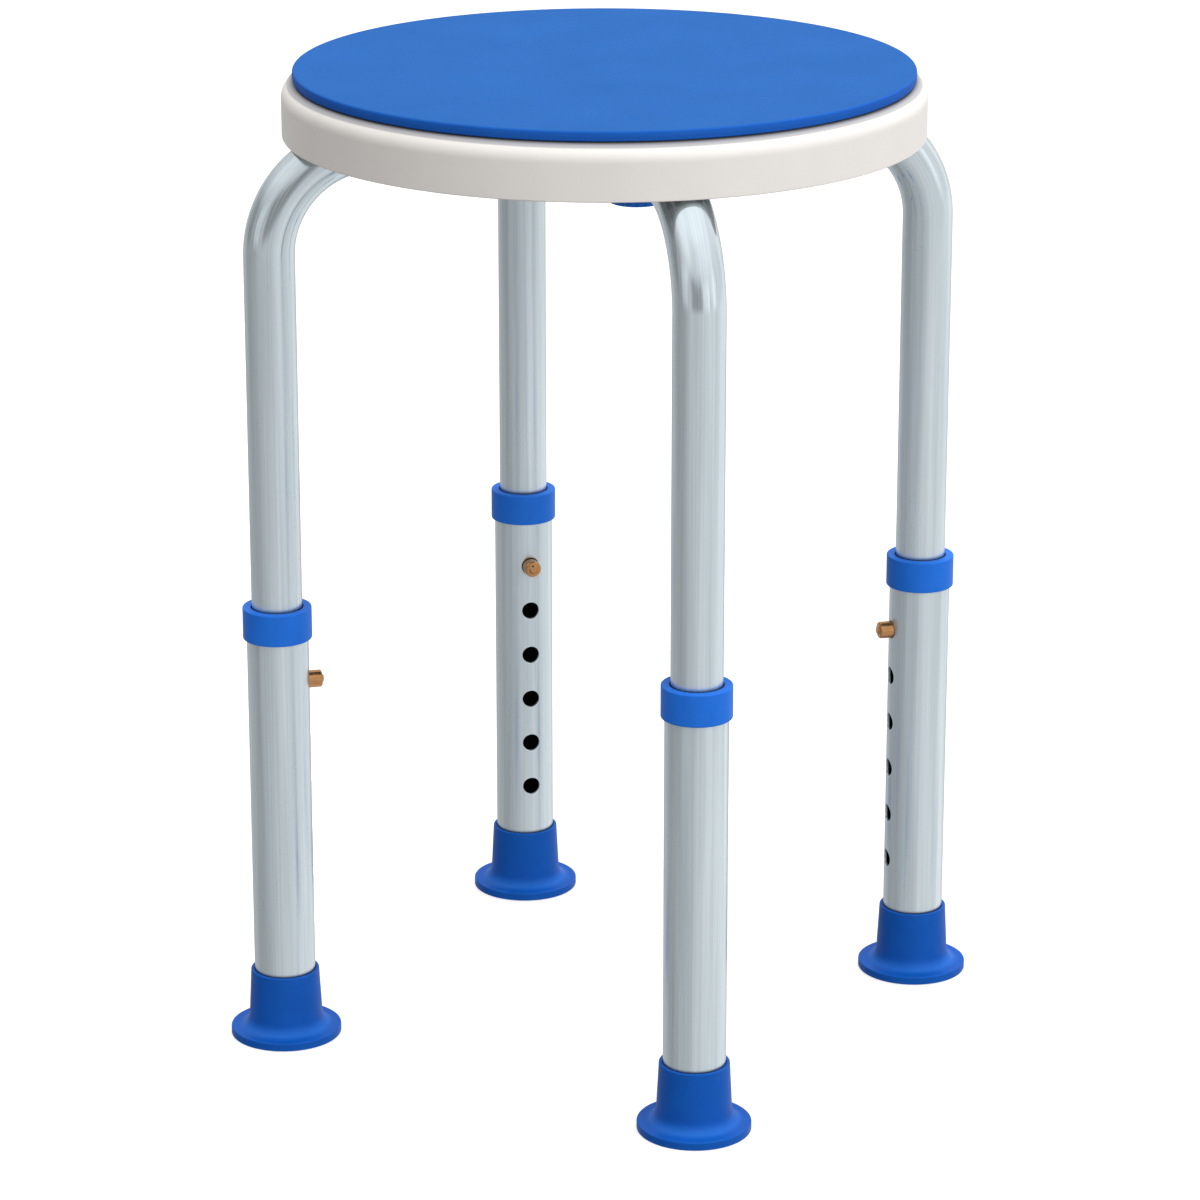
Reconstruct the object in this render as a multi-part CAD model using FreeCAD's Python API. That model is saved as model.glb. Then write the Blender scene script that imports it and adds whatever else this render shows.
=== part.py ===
"""Round shower stool with a swivel seat and four height-adjustable legs.

Millimetres, +Z up. The origin is on the floor, on the stool's axis. One U-shaped
frame tube lies along X and the other along Y, so the legs are right (+X), back (+Y),
left (-X) and front (-Y). The stool stands at its tallest setting.
"""

import FreeCAD
import Part
import math
import os

Vector = FreeCAD.Vector
Z_AXIS = Vector(0, 0, 1)
X_AXIS = Vector(1, 0, 0)
Y_AXIS = Vector(0, 1, 0)

# Whole stool
STOOL_HEIGHT = 494.7            # floor to the top of the pad
LEG_CIRCLE_RADIUS = 169.5       # stool's axis to each leg's axis

# Pad
PAD_INSET = 5.5                 # from the seat's edge
PAD_THICKNESS = 5.0
PAD_EDGE_ROUND = 0.8
GLUE_GAP = 0.05

# Seat shell
SEAT_DIAMETER = 318.0
SHELL_HEIGHT = 27.45            # top face to the skirt's bottom edge
SHELL_TOP_WALL = 3.0
SHELL_SKIRT_WALL = 2.5
SHELL_CORNER_ROUND = 9.0
SHELL_LIP_RUN = 1.0             # relief inside the skirt's bottom edge
SHELL_LIP_RISE = 1.5
SHELL_EDGE_ROUND = 0.6
RIB_COUNT = 16
RIB_WALL = 2.0
RIB_TO_TUBE = 2.5
RING_TO_PLATE = 3.0             # clear space round the swivel plates' corners
LEAST_PLATFORM = 3.0

# Swivel bearing
SWIVEL_SIDE = 102.0
SWIVEL_SHEET = 1.5
SWIVEL_CORNER_ROUND = 8.0
SWIVEL_HOLE_EDGE = 9.0          # hole's centre to the plate's side
RACE_RADIUS = 34.0
RACE_RIDGE_WIDTH = 7.6
RACE_RIDGE_GAP = 1.3            # between the two plates' ridges
BALL_DIAMETER = 4.76
BALL_COUNT = 24
BALL_CLEARANCE = 0.05
BALL_TO_PLATE = 0.07
EYELET_DIAMETER = 42.0
EYELET_WALL = 1.0
EYELET_FLANGE = 3.5             # how far its rolled edges stand out
EYELET_SEAT_CLEARANCE = 0.05
EYELET_TURN_CLEARANCE = 0.3

# Seat screws, from below through the upper swivel plate
SCREW_DIAMETER = 4.0
SCREW_HEAD_DIAMETER = 8.0
SCREW_HEAD_HEIGHT = 2.0
SCREW_GRIP = 5.0

# Frame bolts, with saddles above and below the tubes and round nuts below
BOLT_DIAMETER = 6.0
BOLT_HEAD_DIAMETER = 13.0
BOLT_HEAD_HEIGHT = 1.9
BOLT_HOLE_CLEARANCE = 0.3
THREAD_CLEARANCE = 0.05
SADDLE_LENGTH = 20.0
SADDLE_WIDTH = 22.0
SADDLE_WALL = 1.5
SADDLE_WRAP = 4.0               # how far a saddle's cheeks reach round the tube
NUT_DIAMETER = 27.5
NUT_HEIGHT = 7.8
NUT_ROUND = 1.6
NUT_FLUTE_COUNT = 20
NUT_FLUTE_RADIUS = 1.6
NUT_FLUTE_DEPTH = 0.6
NUT_THREAD_DEPTH = 6.0

# Frame tubes
TUBE_DIAMETER = 25.4
TUBE_WALL = 1.4
BEND_RADIUS = 52.0              # of the tube's centre line
SKIRT_TO_TUBE = 1.3
LAP_GAP = 0.2                   # between the two pressed flats where the tubes cross
LAP_SIDE_GAP = 1.0
LAP_ROUND = 3.0
RIVET_DIAMETER = 6.0
RIVET_HEAD_DIAMETER = 12.0
RIVET_HEAD_HEIGHT = 2.2

# Legs
LEG_TUBE_WALL = 1.5
LEG_TO_TUBE = 1.3               # radial space between a leg tube and the tube inside it
HOLE_PITCH = 25.4
HOLE_COUNT = 6
LOWEST_HOLE_HEIGHT = 62.8
LEG_ABOVE_TOP_HOLE = 37.6
TUBE_BELOW_BUTTON = 15.8
COLLAR_WALL = 1.8
COLLAR_FIT = 0.05
COLLAR_HEIGHT = 16.3
COLLAR_ROOF = 2.5
COLLAR_SLEEVE_LENGTH = 20.0
COLLAR_TO_TUBE = 0.4
COLLAR_ROUND = 0.6

# Bushes on the lower ends of the frame tubes
BUSH_FLANGE = 3.5
BUSH_PLUG_LENGTH = 8.0
BUSH_WALL = 2.0
BUSH_TO_LEG = 0.3

# Snap buttons and their springs
BUTTON_DIAMETER = 8.8
BUTTON_CLEARANCE = 0.2
BUTTON_PROUD = 7.4              # stands out of the leg tube's surface
BUTTON_ROUND = 1.0
BUTTON_GROOVE_RADIUS = 2.5
BUTTON_GROOVE_DEPTH = 0.9       # ring sunk into the tip, around a low nub
BUTTON_NUB_RADIUS = 1.7
BUTTON_BASE_LEDGE = 0.8
BUTTON_BASE_THICKNESS = 1.0
BUTTON_BASE_CLEARANCE = 0.3
SPRING_THICKNESS = 0.6
SPRING_WIDTH = 7.0
SPRING_STRAIGHT = 12.0
SPRING_HEIGHT = 48.0
SPRING_APEX_WIDTH = 5.0

# Feet
FOOT_HEIGHT = 35.3
FOOT_WALL = 1.8
FOOT_BORE_CLEARANCE = 0.1
FOOT_FLOOR = 6.5
FOOT_CONE_SPREAD = 1.6          # the cup's foot is this much wider than its rim, in radius
FOOT_COVE = 6.5                 # concave round from the flange up to the cup
FOOT_FLANGE_REACH = 9.2         # flange's edge, out from the foot of the cup
FOOT_FLANGE_EDGE = 4.2
FOOT_EDGE_ROUND = 0.5
FOOT_RIM_ROUND = 0.5
FOOT_TREAD_WIDTH = 4.4          # flat ring on the floor
FOOT_DISH_DEPTH = 2.5
FOOT_DISH_ROUND = 60.0
WASHER_THICKNESS = 1.5
WASHER_CLEARANCE = 0.1
SEAT_GAP = 0.05                 # between pieces that rest on each other

# Radii
tube_radius = TUBE_DIAMETER / 2
tube_bore = tube_radius - TUBE_WALL
leg_bore = tube_radius + LEG_TO_TUBE
leg_radius = leg_bore + LEG_TUBE_WALL
foot_bore = leg_radius + FOOT_BORE_CLEARANCE
hole_radius = BUTTON_DIAMETER / 2 + BUTTON_CLEARANCE
button_base_radius = BUTTON_DIAMETER / 2 + BUTTON_BASE_LEDGE

# Swivel
plate_gap = BALL_DIAMETER + 2 * BALL_TO_PLATE
ridge_height = (plate_gap - RACE_RIDGE_GAP) / 2
swivel_height = plate_gap + 2 * SWIVEL_SHEET
hole_offset = SWIVEL_SIDE / 2 - SWIVEL_HOLE_EDGE
bolt_radius = hole_offset * math.sqrt(2)
plate_corner_radius = SWIVEL_SIDE / math.sqrt(2) - SWIVEL_CORNER_ROUND * (math.sqrt(2) - 1)

# Heights up a leg
washer_top = FOOT_FLOOR + WASHER_THICKNESS
leg_bottom = washer_top + SEAT_GAP
hole_heights = [LOWEST_HOLE_HEIGHT + n * HOLE_PITCH for n in range(HOLE_COUNT)]
button_height = hole_heights[-1]
leg_top = button_height + LEG_ABOVE_TOP_HOLE
collar_top = leg_top + COLLAR_ROOF
tube_end = button_height - TUBE_BELOW_BUTTON

# Heights down from the seat. The tubes lie as high as the swivel's stack and the
# skirt's edge let them, and the shell's platform reaches down to the swivel.
shell_top = STOOL_HEIGHT - PAD_THICKNESS
shell_bottom = shell_top - SHELL_HEIGHT
shell_ceiling = shell_top - SHELL_TOP_WALL
skirt_bore = SEAT_DIAMETER / 2 - SHELL_SKIRT_WALL
lip_bore = skirt_bore + SHELL_LIP_RUN
bend_reach = BEND_RADIUS + tube_radius + SKIRT_TO_TUBE
lip_past_bend = max(0.0, lip_bore - (LEG_CIRCLE_RADIUS - BEND_RADIUS))
bend_drop = math.sqrt(max(0.0, bend_reach**2 - lip_past_bend**2))
arm_under_skirt = shell_bottom + BEND_RADIUS - bend_drop
arm_under_swivel = shell_ceiling - LEAST_PLATFORM - swivel_height - SADDLE_WALL - tube_radius
arm_height = min(arm_under_skirt, arm_under_swivel)
arm_top = arm_height + tube_radius
arm_bottom = arm_height - tube_radius
bend_height = arm_height - BEND_RADIUS
plate_bottom = arm_top + SADDLE_WALL
plate_gap_bottom = plate_bottom + SWIVEL_SHEET
swivel_top = plate_bottom + swivel_height
plate_gap_top = swivel_top - SWIVEL_SHEET
ball_height = (plate_gap_bottom + plate_gap_top) / 2
nut_top = arm_bottom - SADDLE_WALL - SEAT_GAP
nut_bottom = nut_top - NUT_HEIGHT

SIDES = {"right": 0, "back": 90, "left": 180, "front": 270}


def rounded_wire(corners):
    """Closed outline through (across, up, round) corners in the XZ plane."""
    count = len(corners)
    points = [Vector(across, 0, up) for across, up, _ in corners]
    starts, ends, arcs = [], [], []
    for n, (_, _, radius) in enumerate(corners):
        back = (points[n - 1] - points[n]).normalize()
        onward = (points[(n + 1) % count] - points[n]).normalize()
        half = back.getAngle(onward) / 2
        if radius <= 0:
            starts.append(points[n])
            ends.append(points[n])
            arcs.append(None)
            continue
        inward = (back + onward).normalize()
        reach = radius / math.tan(half)
        start, end = points[n] + back * reach, points[n] + onward * reach
        middle = points[n] + inward * (radius / math.sin(half) - radius)
        starts.append(start)
        ends.append(end)
        arcs.append(Part.Arc(start, middle, end).toShape())
    edges = []
    for n in range(count):
        if arcs[n] is not None:
            edges.append(arcs[n])
        following = starts[(n + 1) % count]
        if ends[n].distanceToPoint(following) > 1e-6:
            edges.append(Part.LineSegment(ends[n], following).toShape())
    return Part.Wire(edges)


def turned(corners):
    """Solid of revolution about Z, from (radius, height, round) corners."""
    face = Part.Face(rounded_wire(corners))
    return face.revolve(Vector(0, 0, 0), Z_AXIS, 360)


def prism(corners, half_width):
    """The (across, up, round) outline, run from -half_width to half_width along Y."""
    face = Part.Face(rounded_wire(corners))
    face.translate(Vector(0, -half_width, 0))
    return face.extrude(Vector(0, 2 * half_width, 0))


def upright(radius, low, high, x=0.0, y=0.0):
    """Cylinder along Z."""
    return Part.makeCylinder(radius, high - low, Vector(x, y, low), Z_AXIS)


def ring(outer, inner, low, high):
    """Plain ring about Z."""
    return upright(outer, low, high).cut(upright(inner, low - 1, high + 1))


def turned_to(shape, degrees):
    """A copy of the shape turned about the stool's axis."""
    copy = shape.copy()
    copy.rotate(Vector(0, 0, 0), Z_AXIS, degrees)
    return copy


def moved_to_leg(shape):
    """A shape made about the origin, moved to the right leg's axis."""
    copy = shape.copy()
    copy.translate(Vector(LEG_CIRCLE_RADIUS, 0, 0))
    return copy


def on_arms(shape):
    """Four copies of a shape made on the right arm, one for each arm."""
    return [turned_to(shape, degrees) for degrees in SIDES.values()]


def fused(shapes):
    """One solid from shapes that meet."""
    whole = shapes[0].multiFuse(shapes[1:]).removeSplitter()
    return whole.Solids[0] if len(whole.Solids) == 1 else whole


def save(name, shape):
    """Write one piece, or a list of alike pieces, as one STEP file."""
    pieces = shape if isinstance(shape, list) else [shape]
    solids = [solid for piece in pieces for solid in piece.Solids]
    for solid in solids:
        if not (solid.isValid() and solid.isClosed() and solid.Volume > 0):
            raise ValueError(name + " holds a solid that is not closed or not valid")
    if not isinstance(shape, list) and len(solids) != 1:
        raise ValueError(name + " is not one solid")
    whole = solids[0] if len(solids) == 1 else Part.makeCompound(solids)
    whole.exportStep(os.path.join("parts", name + ".step"))


# ---------------------------------------------------------------- seat

def seat_pad():
    """Flat foam disc, glued on the shell."""
    radius = SEAT_DIAMETER / 2 - PAD_INSET
    low, high = shell_top + GLUE_GAP, STOOL_HEIGHT
    corners = [
        (0, low, 0),
        (radius, low, PAD_EDGE_ROUND),
        (radius, high, PAD_EDGE_ROUND),
        (0, high, 0),
    ]
    return turned(corners)


def shell_ribs(inner, outer, low, high):
    """Radial ribs under the seat, their outer top corners cut off inside the shell's round."""
    corner = SHELL_CORNER_ROUND * 2 / 3
    outline = [
        (inner, low, 0),
        (outer, low, 0),
        (outer, high - corner, 0),
        (outer - corner, high, 0),
        (inner, high, 0),
    ]
    rib = prism(outline, RIB_WALL / 2)
    return [turned_to(rib, 360 * (n + 0.5) / RIB_COUNT) for n in range(RIB_COUNT)]


def seat_shell():
    """Moulded shell: flat top, straight skirt, ribs, and a platform for the swivel."""
    radius = SEAT_DIAMETER / 2
    inner_round = SHELL_CORNER_ROUND - SHELL_SKIRT_WALL
    corners = [
        (0, shell_ceiling, 0),
        (skirt_bore, shell_ceiling, inner_round),
        (skirt_bore, shell_bottom + SHELL_LIP_RISE, 0),
        (lip_bore, shell_bottom, 0),
        (radius, shell_bottom, SHELL_EDGE_ROUND),
        (radius, shell_top, SHELL_CORNER_ROUND),
        (0, shell_top, 0),
    ]
    ring_bore = plate_corner_radius + RING_TO_PLATE
    ring_outer = ring_bore + RIB_WALL
    rib_bottom = arm_top + RIB_TO_TUBE
    into_top = shell_ceiling + SHELL_TOP_WALL / 2
    platform = ring(
        ring_outer,
        EYELET_DIAMETER / 2 + EYELET_FLANGE + RING_TO_PLATE,
        swivel_top + SEAT_GAP,
        into_top,
    )
    wall = ring(ring_outer, ring_bore, rib_bottom, into_top)
    ribs = shell_ribs(ring_bore + RIB_WALL / 2, skirt_bore + 1, rib_bottom, into_top)
    shell = fused([turned(corners), platform, wall] + ribs)
    for hole in seat_screw_places():
        shell = shell.cut(
            upright(
                SCREW_DIAMETER / 2 + THREAD_CLEARANCE,
                swivel_top - 1,
                swivel_top + SCREW_GRIP + THREAD_CLEARANCE,
                hole.x,
                hole.y,
            )
        )
    return shell


def seat_screw_places():
    """Screw centres, half a quarter turn away from the arms."""
    reach = bolt_radius
    angles = [math.radians(45 + 90 * n) for n in range(4)]
    return [Vector(reach * math.cos(a), reach * math.sin(a), 0) for a in angles]


def seat_screws():
    """Four short pan-head screws, heads under the upper swivel plate."""
    head_top = plate_gap_top - SEAT_GAP
    corners = [
        (0, head_top - SCREW_HEAD_HEIGHT, 0),
        (SCREW_HEAD_DIAMETER / 2, head_top - SCREW_HEAD_HEIGHT, 0.8),
        (SCREW_HEAD_DIAMETER / 2, head_top, 0),
        (SCREW_DIAMETER / 2, head_top, 0),
        (SCREW_DIAMETER / 2, swivel_top + SCREW_GRIP - 1, 0),
        (0.6, swivel_top + SCREW_GRIP, 0),
        (0, swivel_top + SCREW_GRIP, 0),
    ]
    screw = turned(corners)
    slot = Part.makeBox(5, 1, 1.4, Vector(-2.5, -0.5, head_top - SCREW_HEAD_HEIGHT - 0.4))
    screw = screw.cut(slot).cut(turned_to(slot, 90))
    pieces = []
    for place in seat_screw_places():
        piece = screw.copy()
        piece.translate(place)
        pieces.append(piece)
    return pieces


# -------------------------------------------------------------- swivel

def swivel_plate(low, centre_radius, ridge_low, angle, fixing_radius):
    """Square plate with a ball race on one face and a hole near each corner."""
    half = SWIVEL_SIDE / 2
    plate = Part.makeBox(SWIVEL_SIDE, SWIVEL_SIDE, SWIVEL_SHEET, Vector(-half, -half, low))
    upright_edges = [e for e in plate.Edges if abs(e.tangentAt(e.FirstParameter).z) > 0.9]
    plate = plate.makeFillet(SWIVEL_CORNER_ROUND, upright_edges)
    ridge = ring(
        RACE_RADIUS + RACE_RIDGE_WIDTH / 2,
        RACE_RADIUS - RACE_RIDGE_WIDTH / 2,
        ridge_low,
        ridge_low + ridge_height,
    )
    plate = fused([plate, ridge])
    groove = Part.makeTorus(
        RACE_RADIUS, BALL_DIAMETER / 2 + BALL_CLEARANCE, Vector(0, 0, ball_height), Z_AXIS
    )
    plate = plate.cut(groove)
    plate = plate.cut(upright(centre_radius, low - 1, low + SWIVEL_SHEET + 1))
    for x in (-hole_offset, hole_offset):
        for y in (-hole_offset, hole_offset):
            plate = plate.cut(upright(fixing_radius, low - 1, low + SWIVEL_SHEET + 1, x, y))
    return turned_to(plate, angle)


def swivel_bottom_plate():
    """Lower plate, its corners over the four arms."""
    centre = EYELET_DIAMETER / 2 + EYELET_SEAT_CLEARANCE
    hole = BOLT_DIAMETER / 2 + BOLT_HOLE_CLEARANCE
    return swivel_plate(plate_bottom, centre, plate_gap_bottom, 45, hole)


def swivel_top_plate():
    """Upper plate, turned an eighth of a turn so its screws can be reached."""
    centre = EYELET_DIAMETER / 2 + EYELET_TURN_CLEARANCE
    hole = SCREW_DIAMETER / 2 + BOLT_HOLE_CLEARANCE
    return swivel_plate(plate_gap_top, centre, plate_gap_top - ridge_height, 0, hole)


def swivel_balls():
    """Ball set in the race."""
    ball = Part.makeSphere(BALL_DIAMETER / 2, Vector(RACE_RADIUS, 0, ball_height))
    return [turned_to(ball, 360 * n / BALL_COUNT) for n in range(BALL_COUNT)]


def swivel_eyelet():
    """Short tube with rolled edges that keeps the two plates together."""
    outer = EYELET_DIAMETER / 2
    bore = outer - EYELET_WALL
    low = plate_bottom - SEAT_GAP
    high = swivel_top + EYELET_TURN_CLEARANCE
    corners = [
        (bore, low - EYELET_WALL, 0),
        (outer + EYELET_FLANGE, low - EYELET_WALL, 0),
        (outer + EYELET_FLANGE, low, 0),
        (outer, low, 0),
        (outer, high, 0),
        (outer + EYELET_FLANGE, high, 0),
        (outer + EYELET_FLANGE, high + EYELET_WALL, 0),
        (bore, high + EYELET_WALL, 0),
    ]
    return turned(corners)


# --------------------------------------------------------------- frame

def bent_tube(radius, leg_end):
    """Solid bar along the U-shaped centre line in the XZ plane."""
    reach, drop = LEG_CIRCLE_RADIUS, BEND_RADIUS
    slant = BEND_RADIUS * math.sqrt(0.5)
    bend_centre = reach - drop
    right_start = Vector(reach, 0, bend_height)
    right_end = Vector(bend_centre, 0, arm_height)
    right_middle = Vector(bend_centre + slant, 0, bend_height + slant)
    left_start = Vector(-bend_centre, 0, arm_height)
    left_end = Vector(-reach, 0, bend_height)
    left_middle = Vector(-bend_centre - slant, 0, bend_height + slant)
    path = Part.Wire(
        [
            Part.LineSegment(Vector(reach, 0, leg_end), right_start).toShape(),
            Part.Arc(right_start, right_middle, right_end).toShape(),
            Part.LineSegment(right_end, left_start).toShape(),
            Part.Arc(left_start, left_middle, left_end).toShape(),
            Part.LineSegment(left_end, Vector(-reach, 0, leg_end)).toShape(),
        ]
    )
    circle = Part.Circle(Vector(reach, 0, leg_end), Z_AXIS, radius).toShape()
    return path.makePipeShell([Part.Wire([circle])], True, False).Solids[0]


def lap_notch(grow, over):
    """Room pressed into a tube for the tube that crosses it."""
    half = tube_radius + LAP_SIDE_GAP + grow * math.tan(math.radians(22.5))
    depth = tube_radius + 2 + grow
    flat = arm_height + (1 if over else -1) * (LAP_GAP / 2 + grow)
    far = flat - depth if over else flat + depth
    corners = [
        (-half - depth, far, 0),
        (-half, flat, LAP_ROUND + grow),
        (half, flat, LAP_ROUND + grow),
        (half + depth, far, 0),
    ]
    return prism(corners, tube_radius + 2)


def frame_tube(over):
    """U-shaped tube, pressed flat at its middle to lap over or under its twin."""
    outer = bent_tube(tube_radius, tube_end).cut(lap_notch(0, over))
    hollow = bent_tube(tube_bore, tube_end - 1).cut(lap_notch(TUBE_WALL, over))
    tube = outer.cut(hollow)
    for x in (-bolt_radius, bolt_radius):
        hole = BOLT_DIAMETER / 2 + BOLT_HOLE_CLEARANCE
        tube = tube.cut(upright(hole, arm_bottom - 1, arm_top + 1, x))
    tube = tube.cut(
        upright(RIVET_DIAMETER / 2 + THREAD_CLEARANCE, arm_bottom - 1, arm_top + 1)
    )
    for side in (-1, 1):
        start = Vector(side * (LEG_CIRCLE_RADIUS - tube_radius - 1), 0, button_height)
        across = Vector(side, 0, 0)
        tube = tube.cut(Part.makeCylinder(hole_radius, tube_radius, start, across))
    return tube if over else turned_to(tube, 90)


def arm_cylinder(clearance):
    """The space that the right arm fills near its bolt."""
    return Part.makeCylinder(
        tube_radius + clearance, 2 * bolt_radius, Vector(0, 0, arm_height), X_AXIS
    )


def arm_saddle(low, high):
    """Block on the right arm, hollowed to fit the tube."""
    block = Part.makeBox(
        SADDLE_LENGTH,
        SADDLE_WIDTH,
        high - low,
        Vector(bolt_radius - SADDLE_LENGTH / 2, -SADDLE_WIDTH / 2, low),
    )
    upright_edges = [e for e in block.Edges if abs(e.tangentAt(e.FirstParameter).z) > 0.9]
    block = block.makeFillet(3.0, upright_edges)
    block = block.cut(arm_cylinder(SEAT_GAP))
    bolt = upright(BOLT_DIAMETER / 2 + BOLT_HOLE_CLEARANCE, low - 1, high + 1, bolt_radius)
    return block.cut(bolt)


def upper_saddles():
    """Between the arms and the lower swivel plate."""
    high = plate_bottom - SEAT_GAP
    return on_arms(arm_saddle(high - SADDLE_WALL - SADDLE_WRAP, high))


def lower_saddles():
    """Between the arms and the round nuts."""
    low = arm_bottom - SADDLE_WALL
    return on_arms(arm_saddle(low, low + SADDLE_WALL + SADDLE_WRAP))


def frame_bolts():
    """Low-headed bolts through the lower plate, the saddles and the arms."""
    head = plate_gap_bottom + SEAT_GAP
    tip = nut_top - NUT_THREAD_DEPTH + SEAT_GAP
    corners = [
        (0, tip, 0),
        (BOLT_DIAMETER / 2 - 0.8, tip, 0),
        (BOLT_DIAMETER / 2, tip + 0.8, 0),
        (BOLT_DIAMETER / 2, head, 0),
        (BOLT_HEAD_DIAMETER / 2, head, 0),
        (BOLT_HEAD_DIAMETER / 2, head + BOLT_HEAD_HEIGHT, 1.2),
        (0, head + BOLT_HEAD_HEIGHT, 0),
    ]
    bolt = turned(corners)
    bolt.translate(Vector(bolt_radius, 0, 0))
    return on_arms(bolt)


def thumb_nuts():
    """Round fluted nuts under the arms, turned by hand."""
    radius = NUT_DIAMETER / 2
    corners = [
        (0, nut_bottom, 0),
        (radius, nut_bottom, NUT_ROUND),
        (radius, nut_top, 0.5),
        (BOLT_DIAMETER / 2 + THREAD_CLEARANCE, nut_top, 0),
        (BOLT_DIAMETER / 2 + THREAD_CLEARANCE, nut_top - NUT_THREAD_DEPTH, 0),
        (0, nut_top - NUT_THREAD_DEPTH, 0),
    ]
    nut = turned(corners)
    reach = radius + NUT_FLUTE_RADIUS - NUT_FLUTE_DEPTH
    flute = upright(NUT_FLUTE_RADIUS, nut_bottom - 1, nut_top + 1, reach)
    flutes = [turned_to(flute, 360 * n / NUT_FLUTE_COUNT) for n in range(NUT_FLUTE_COUNT)]
    nut = nut.cut(Part.makeCompound(flutes))
    nut.translate(Vector(bolt_radius, 0, 0))
    return on_arms(nut)


def centre_rivet():
    """Rivet through both tubes where they lap, its heads shaped to the tubes."""
    shank = RIVET_DIAMETER / 2
    head = RIVET_HEAD_DIAMETER / 2
    sunk = tube_radius - math.sqrt(tube_radius**2 - head**2)
    low = arm_bottom - RIVET_HEAD_HEIGHT
    high = arm_top + RIVET_HEAD_HEIGHT
    corners = [
        (0, low, 0),
        (head, low, 1.5),
        (head, arm_bottom + sunk, 0),
        (shank, arm_bottom + sunk, 0),
        (shank, arm_top - sunk, 0),
        (head, arm_top - sunk, 0),
        (head, high, 1.5),
        (0, high, 0),
    ]
    hole = Part.makeCylinder(shank, 4 * tube_radius, Vector(0, 0, arm_bottom - 10), Z_AXIS)
    along_x = Part.makeCylinder(
        tube_radius + SEAT_GAP, 60, Vector(-30, 0, arm_height), X_AXIS
    )
    upper_half = Part.makeBox(60, 60, 60, Vector(-30, -30, arm_height))
    lower_half = Part.makeBox(60, 60, 60, Vector(-30, -30, arm_height - 60))
    over = along_x.common(upper_half).cut(hole)
    under = turned_to(along_x, 90).common(lower_half).cut(hole)
    return turned(corners).cut(over).cut(under)


# ---------------------------------------------------------------- legs

def inward_rod(radius, start, length, height):
    """Cylinder across a leg at its own axis, pointing at the stool's axis."""
    return Part.makeCylinder(radius, length, Vector(-start, 0, height), Vector(-1, 0, 0))


def leg_tube():
    """Outer leg tube, with a row of button holes facing the stool's axis."""
    tube = ring(leg_radius, leg_bore, leg_bottom, leg_top)
    holes = [inward_rod(hole_radius, 0, leg_radius + 1, z) for z in hole_heights]
    return tube.cut(Part.makeCompound(holes))


def leg_collar():
    """Cap over the leg tube's mouth, with a sleeve that guides the inner tube."""
    cap = leg_radius + COLLAR_FIT
    outer = cap + COLLAR_WALL
    guide = tube_radius + COLLAR_TO_TUBE
    sleeve = leg_bore - COLLAR_FIT
    roof = leg_top + SEAT_GAP
    corners = [
        (guide, collar_top, COLLAR_ROUND / 2),
        (outer, collar_top, COLLAR_ROUND),
        (outer, collar_top - COLLAR_HEIGHT, COLLAR_ROUND / 2),
        (cap, collar_top - COLLAR_HEIGHT, 0),
        (cap, roof, 0),
        (sleeve, roof, 0),
        (sleeve, leg_top - COLLAR_SLEEVE_LENGTH, 0),
        (guide, leg_top - COLLAR_SLEEVE_LENGTH, 0),
    ]
    return turned(corners)


def leg_foot():
    """Rubber foot: a cup for the tube, a coved flange and a dished underside."""
    rim = foot_bore + FOOT_WALL
    cone = rim + FOOT_CONE_SPREAD
    flange = cone + FOOT_FLANGE_REACH
    dish = flange - FOOT_EDGE_ROUND - FOOT_TREAD_WIDTH
    corners = [
        (0, FOOT_DISH_DEPTH, 0),
        (dish / 2, FOOT_DISH_DEPTH, FOOT_DISH_ROUND),
        (dish, 0, 0),
        (flange, 0, FOOT_EDGE_ROUND),
        (flange, FOOT_FLANGE_EDGE, FOOT_EDGE_ROUND),
        (cone, FOOT_FLANGE_EDGE, FOOT_COVE),
        (rim, FOOT_HEIGHT, FOOT_RIM_ROUND),
        (foot_bore, FOOT_HEIGHT, FOOT_RIM_ROUND),
        (foot_bore, FOOT_FLOOR, 0),
        (0, FOOT_FLOOR, 0),
    ]
    return turned(corners)


def foot_washer():
    """Steel disc that keeps the tube's end from cutting into the foot."""
    low = FOOT_FLOOR + SEAT_GAP
    return upright(foot_bore - WASHER_CLEARANCE, low, washer_top)


def tube_end_bush():
    """Plug with a wide flange that centres the frame tube in the leg tube."""
    plug = tube_bore - SEAT_GAP
    flange_top = tube_end - SEAT_GAP
    corners = [
        (plug - BUSH_WALL, flange_top - BUSH_FLANGE, 0),
        (leg_bore - BUSH_TO_LEG, flange_top - BUSH_FLANGE, 0.8),
        (leg_bore - BUSH_TO_LEG, flange_top, 0),
        (plug, flange_top, 0),
        (plug, flange_top + BUSH_PLUG_LENGTH, 0.5),
        (plug - BUSH_WALL, flange_top + BUSH_PLUG_LENGTH, 0),
    ]
    return turned(corners)


def button_base_reach():
    """How far from the leg's axis the wide base of the button may stand."""
    half = button_base_radius
    return math.sqrt(tube_bore**2 - half**2) - BUTTON_BASE_CLEARANCE


def snap_button():
    """Round button through both tubes, with a base inside and a low nub on its tip."""
    base = button_base_reach()
    tip = leg_radius + BUTTON_PROUD
    groove = tip - BUTTON_GROOVE_DEPTH
    corners = [
        (0, base - BUTTON_BASE_THICKNESS, 0),
        (button_base_radius, base - BUTTON_BASE_THICKNESS, 0),
        (button_base_radius, base, 0),
        (BUTTON_DIAMETER / 2, base, 0),
        (BUTTON_DIAMETER / 2, groove, BUTTON_ROUND),
        (BUTTON_GROOVE_RADIUS, groove, 0),
        (BUTTON_NUB_RADIUS, tip, 0),
        (0, tip, 0),
    ]
    button = turned(corners)
    button.rotate(Vector(0, 0, 0), Y_AXIS, -90)
    button.translate(Vector(0, 0, button_height))
    return button


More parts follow.
